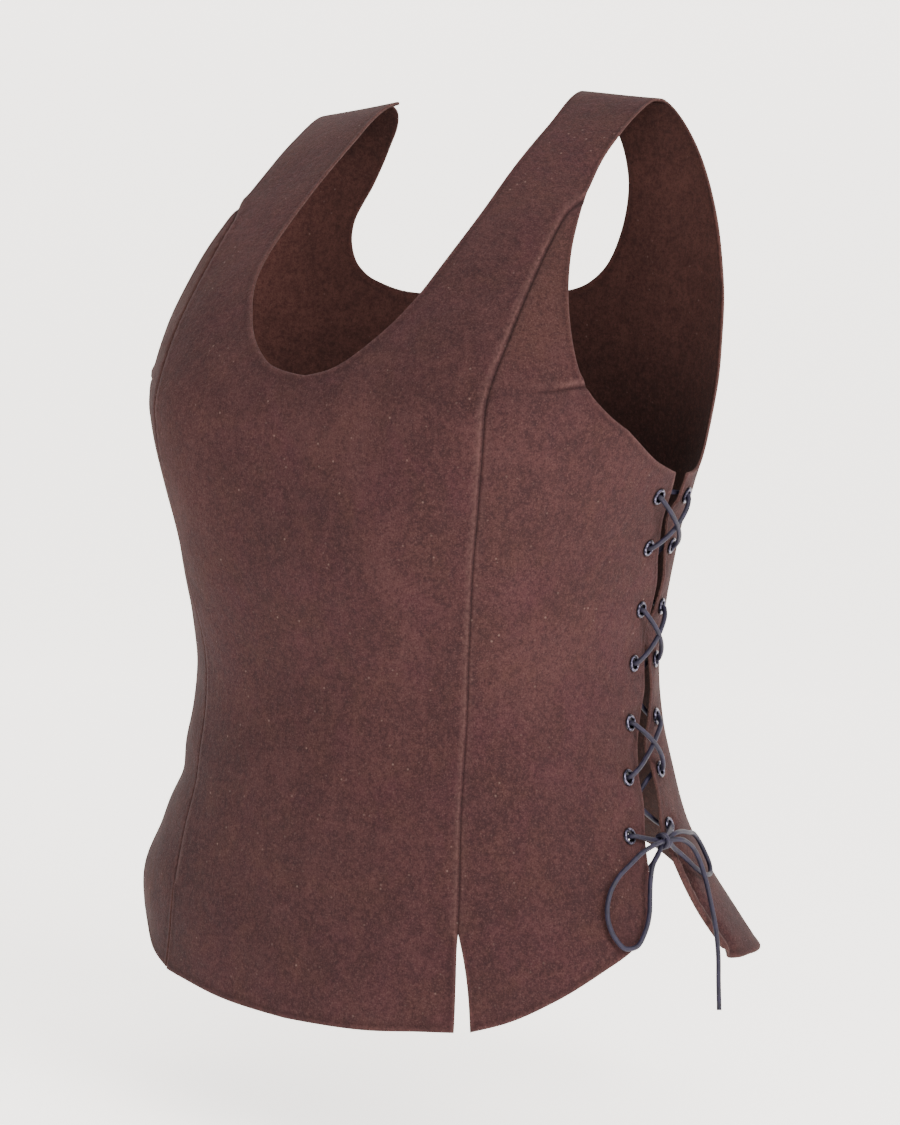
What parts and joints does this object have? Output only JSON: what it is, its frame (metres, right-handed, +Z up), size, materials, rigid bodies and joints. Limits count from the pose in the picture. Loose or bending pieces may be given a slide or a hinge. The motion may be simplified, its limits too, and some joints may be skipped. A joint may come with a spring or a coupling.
{
  "type": "laced doublet",
  "caption": "Sleeveless fitted suede doublet with a scoop neck, princess seams, a flared hem and criss-cross lacing through eyelets at both sides.",
  "frame": {"origin": "midway between the tops of the two shoulder straps, where the garment is held on a figure or a hanger", "axes": "+Z up, the front faces -Y, the wearer's left side is at +X"},
  "size_m": [0.3939, 0.2591, 0.5227],
  "materials": {
    "suede": "matte brushed suede, dark plum brown, mottled",
    "lace": "round lace, dark purple charcoal",
    "eyelet": "blackened metal with worn bright edges"
  },
  "bodies": {
    "root": {"back": "suede", "eyelet_back_left_1": "eyelet", "eyelet_back_left_2": "eyelet", "eyelet_back_left_3": "eyelet", "eyelet_back_left_4": "eyelet", "eyelet_back_left_5": "eyelet", "eyelet_back_left_6": "eyelet", "eyelet_back_left_7": "eyelet", "eyelet_back_right_1": "eyelet", "eyelet_back_right_2": "eyelet", "eyelet_back_right_3": "eyelet", "eyelet_back_right_4": "eyelet", "eyelet_back_right_5": "eyelet", "eyelet_back_right_6": "eyelet", "eyelet_back_right_7": "eyelet", "eyelet_front_left_1": "eyelet", "eyelet_front_left_2": "eyelet", "eyelet_front_left_3": "eyelet", "eyelet_front_left_4": "eyelet", "eyelet_front_left_5": "eyelet", "eyelet_front_left_6": "eyelet", "eyelet_front_left_7": "eyelet", "eyelet_front_right_1": "eyelet", "eyelet_front_right_2": "eyelet", "eyelet_front_right_3": "eyelet", "eyelet_front_right_4": "eyelet", "eyelet_front_right_5": "eyelet", "eyelet_front_right_6": "eyelet", "eyelet_front_right_7": "eyelet", "front_centre": "suede", "lace_left_back_end": "lace", "lace_left_back_loop": "lace", "lace_left_back_strand": "lace", "lace_left_front_end": "lace", "lace_left_front_loop": "lace", "lace_left_front_strand": "lace", "lace_left_knot": "lace", "lace_left_run": "lace", "lace_right_back_end": "lace", "lace_right_back_loop": "lace", "lace_right_back_strand": "lace", "lace_right_front_end": "lace", "lace_right_front_loop": "lace", "lace_right_front_strand": "lace", "lace_right_knot": "lace", "lace_right_run": "lace", "side_front_left": "suede", "side_front_right": "suede"}
  },
  "joints": []
}
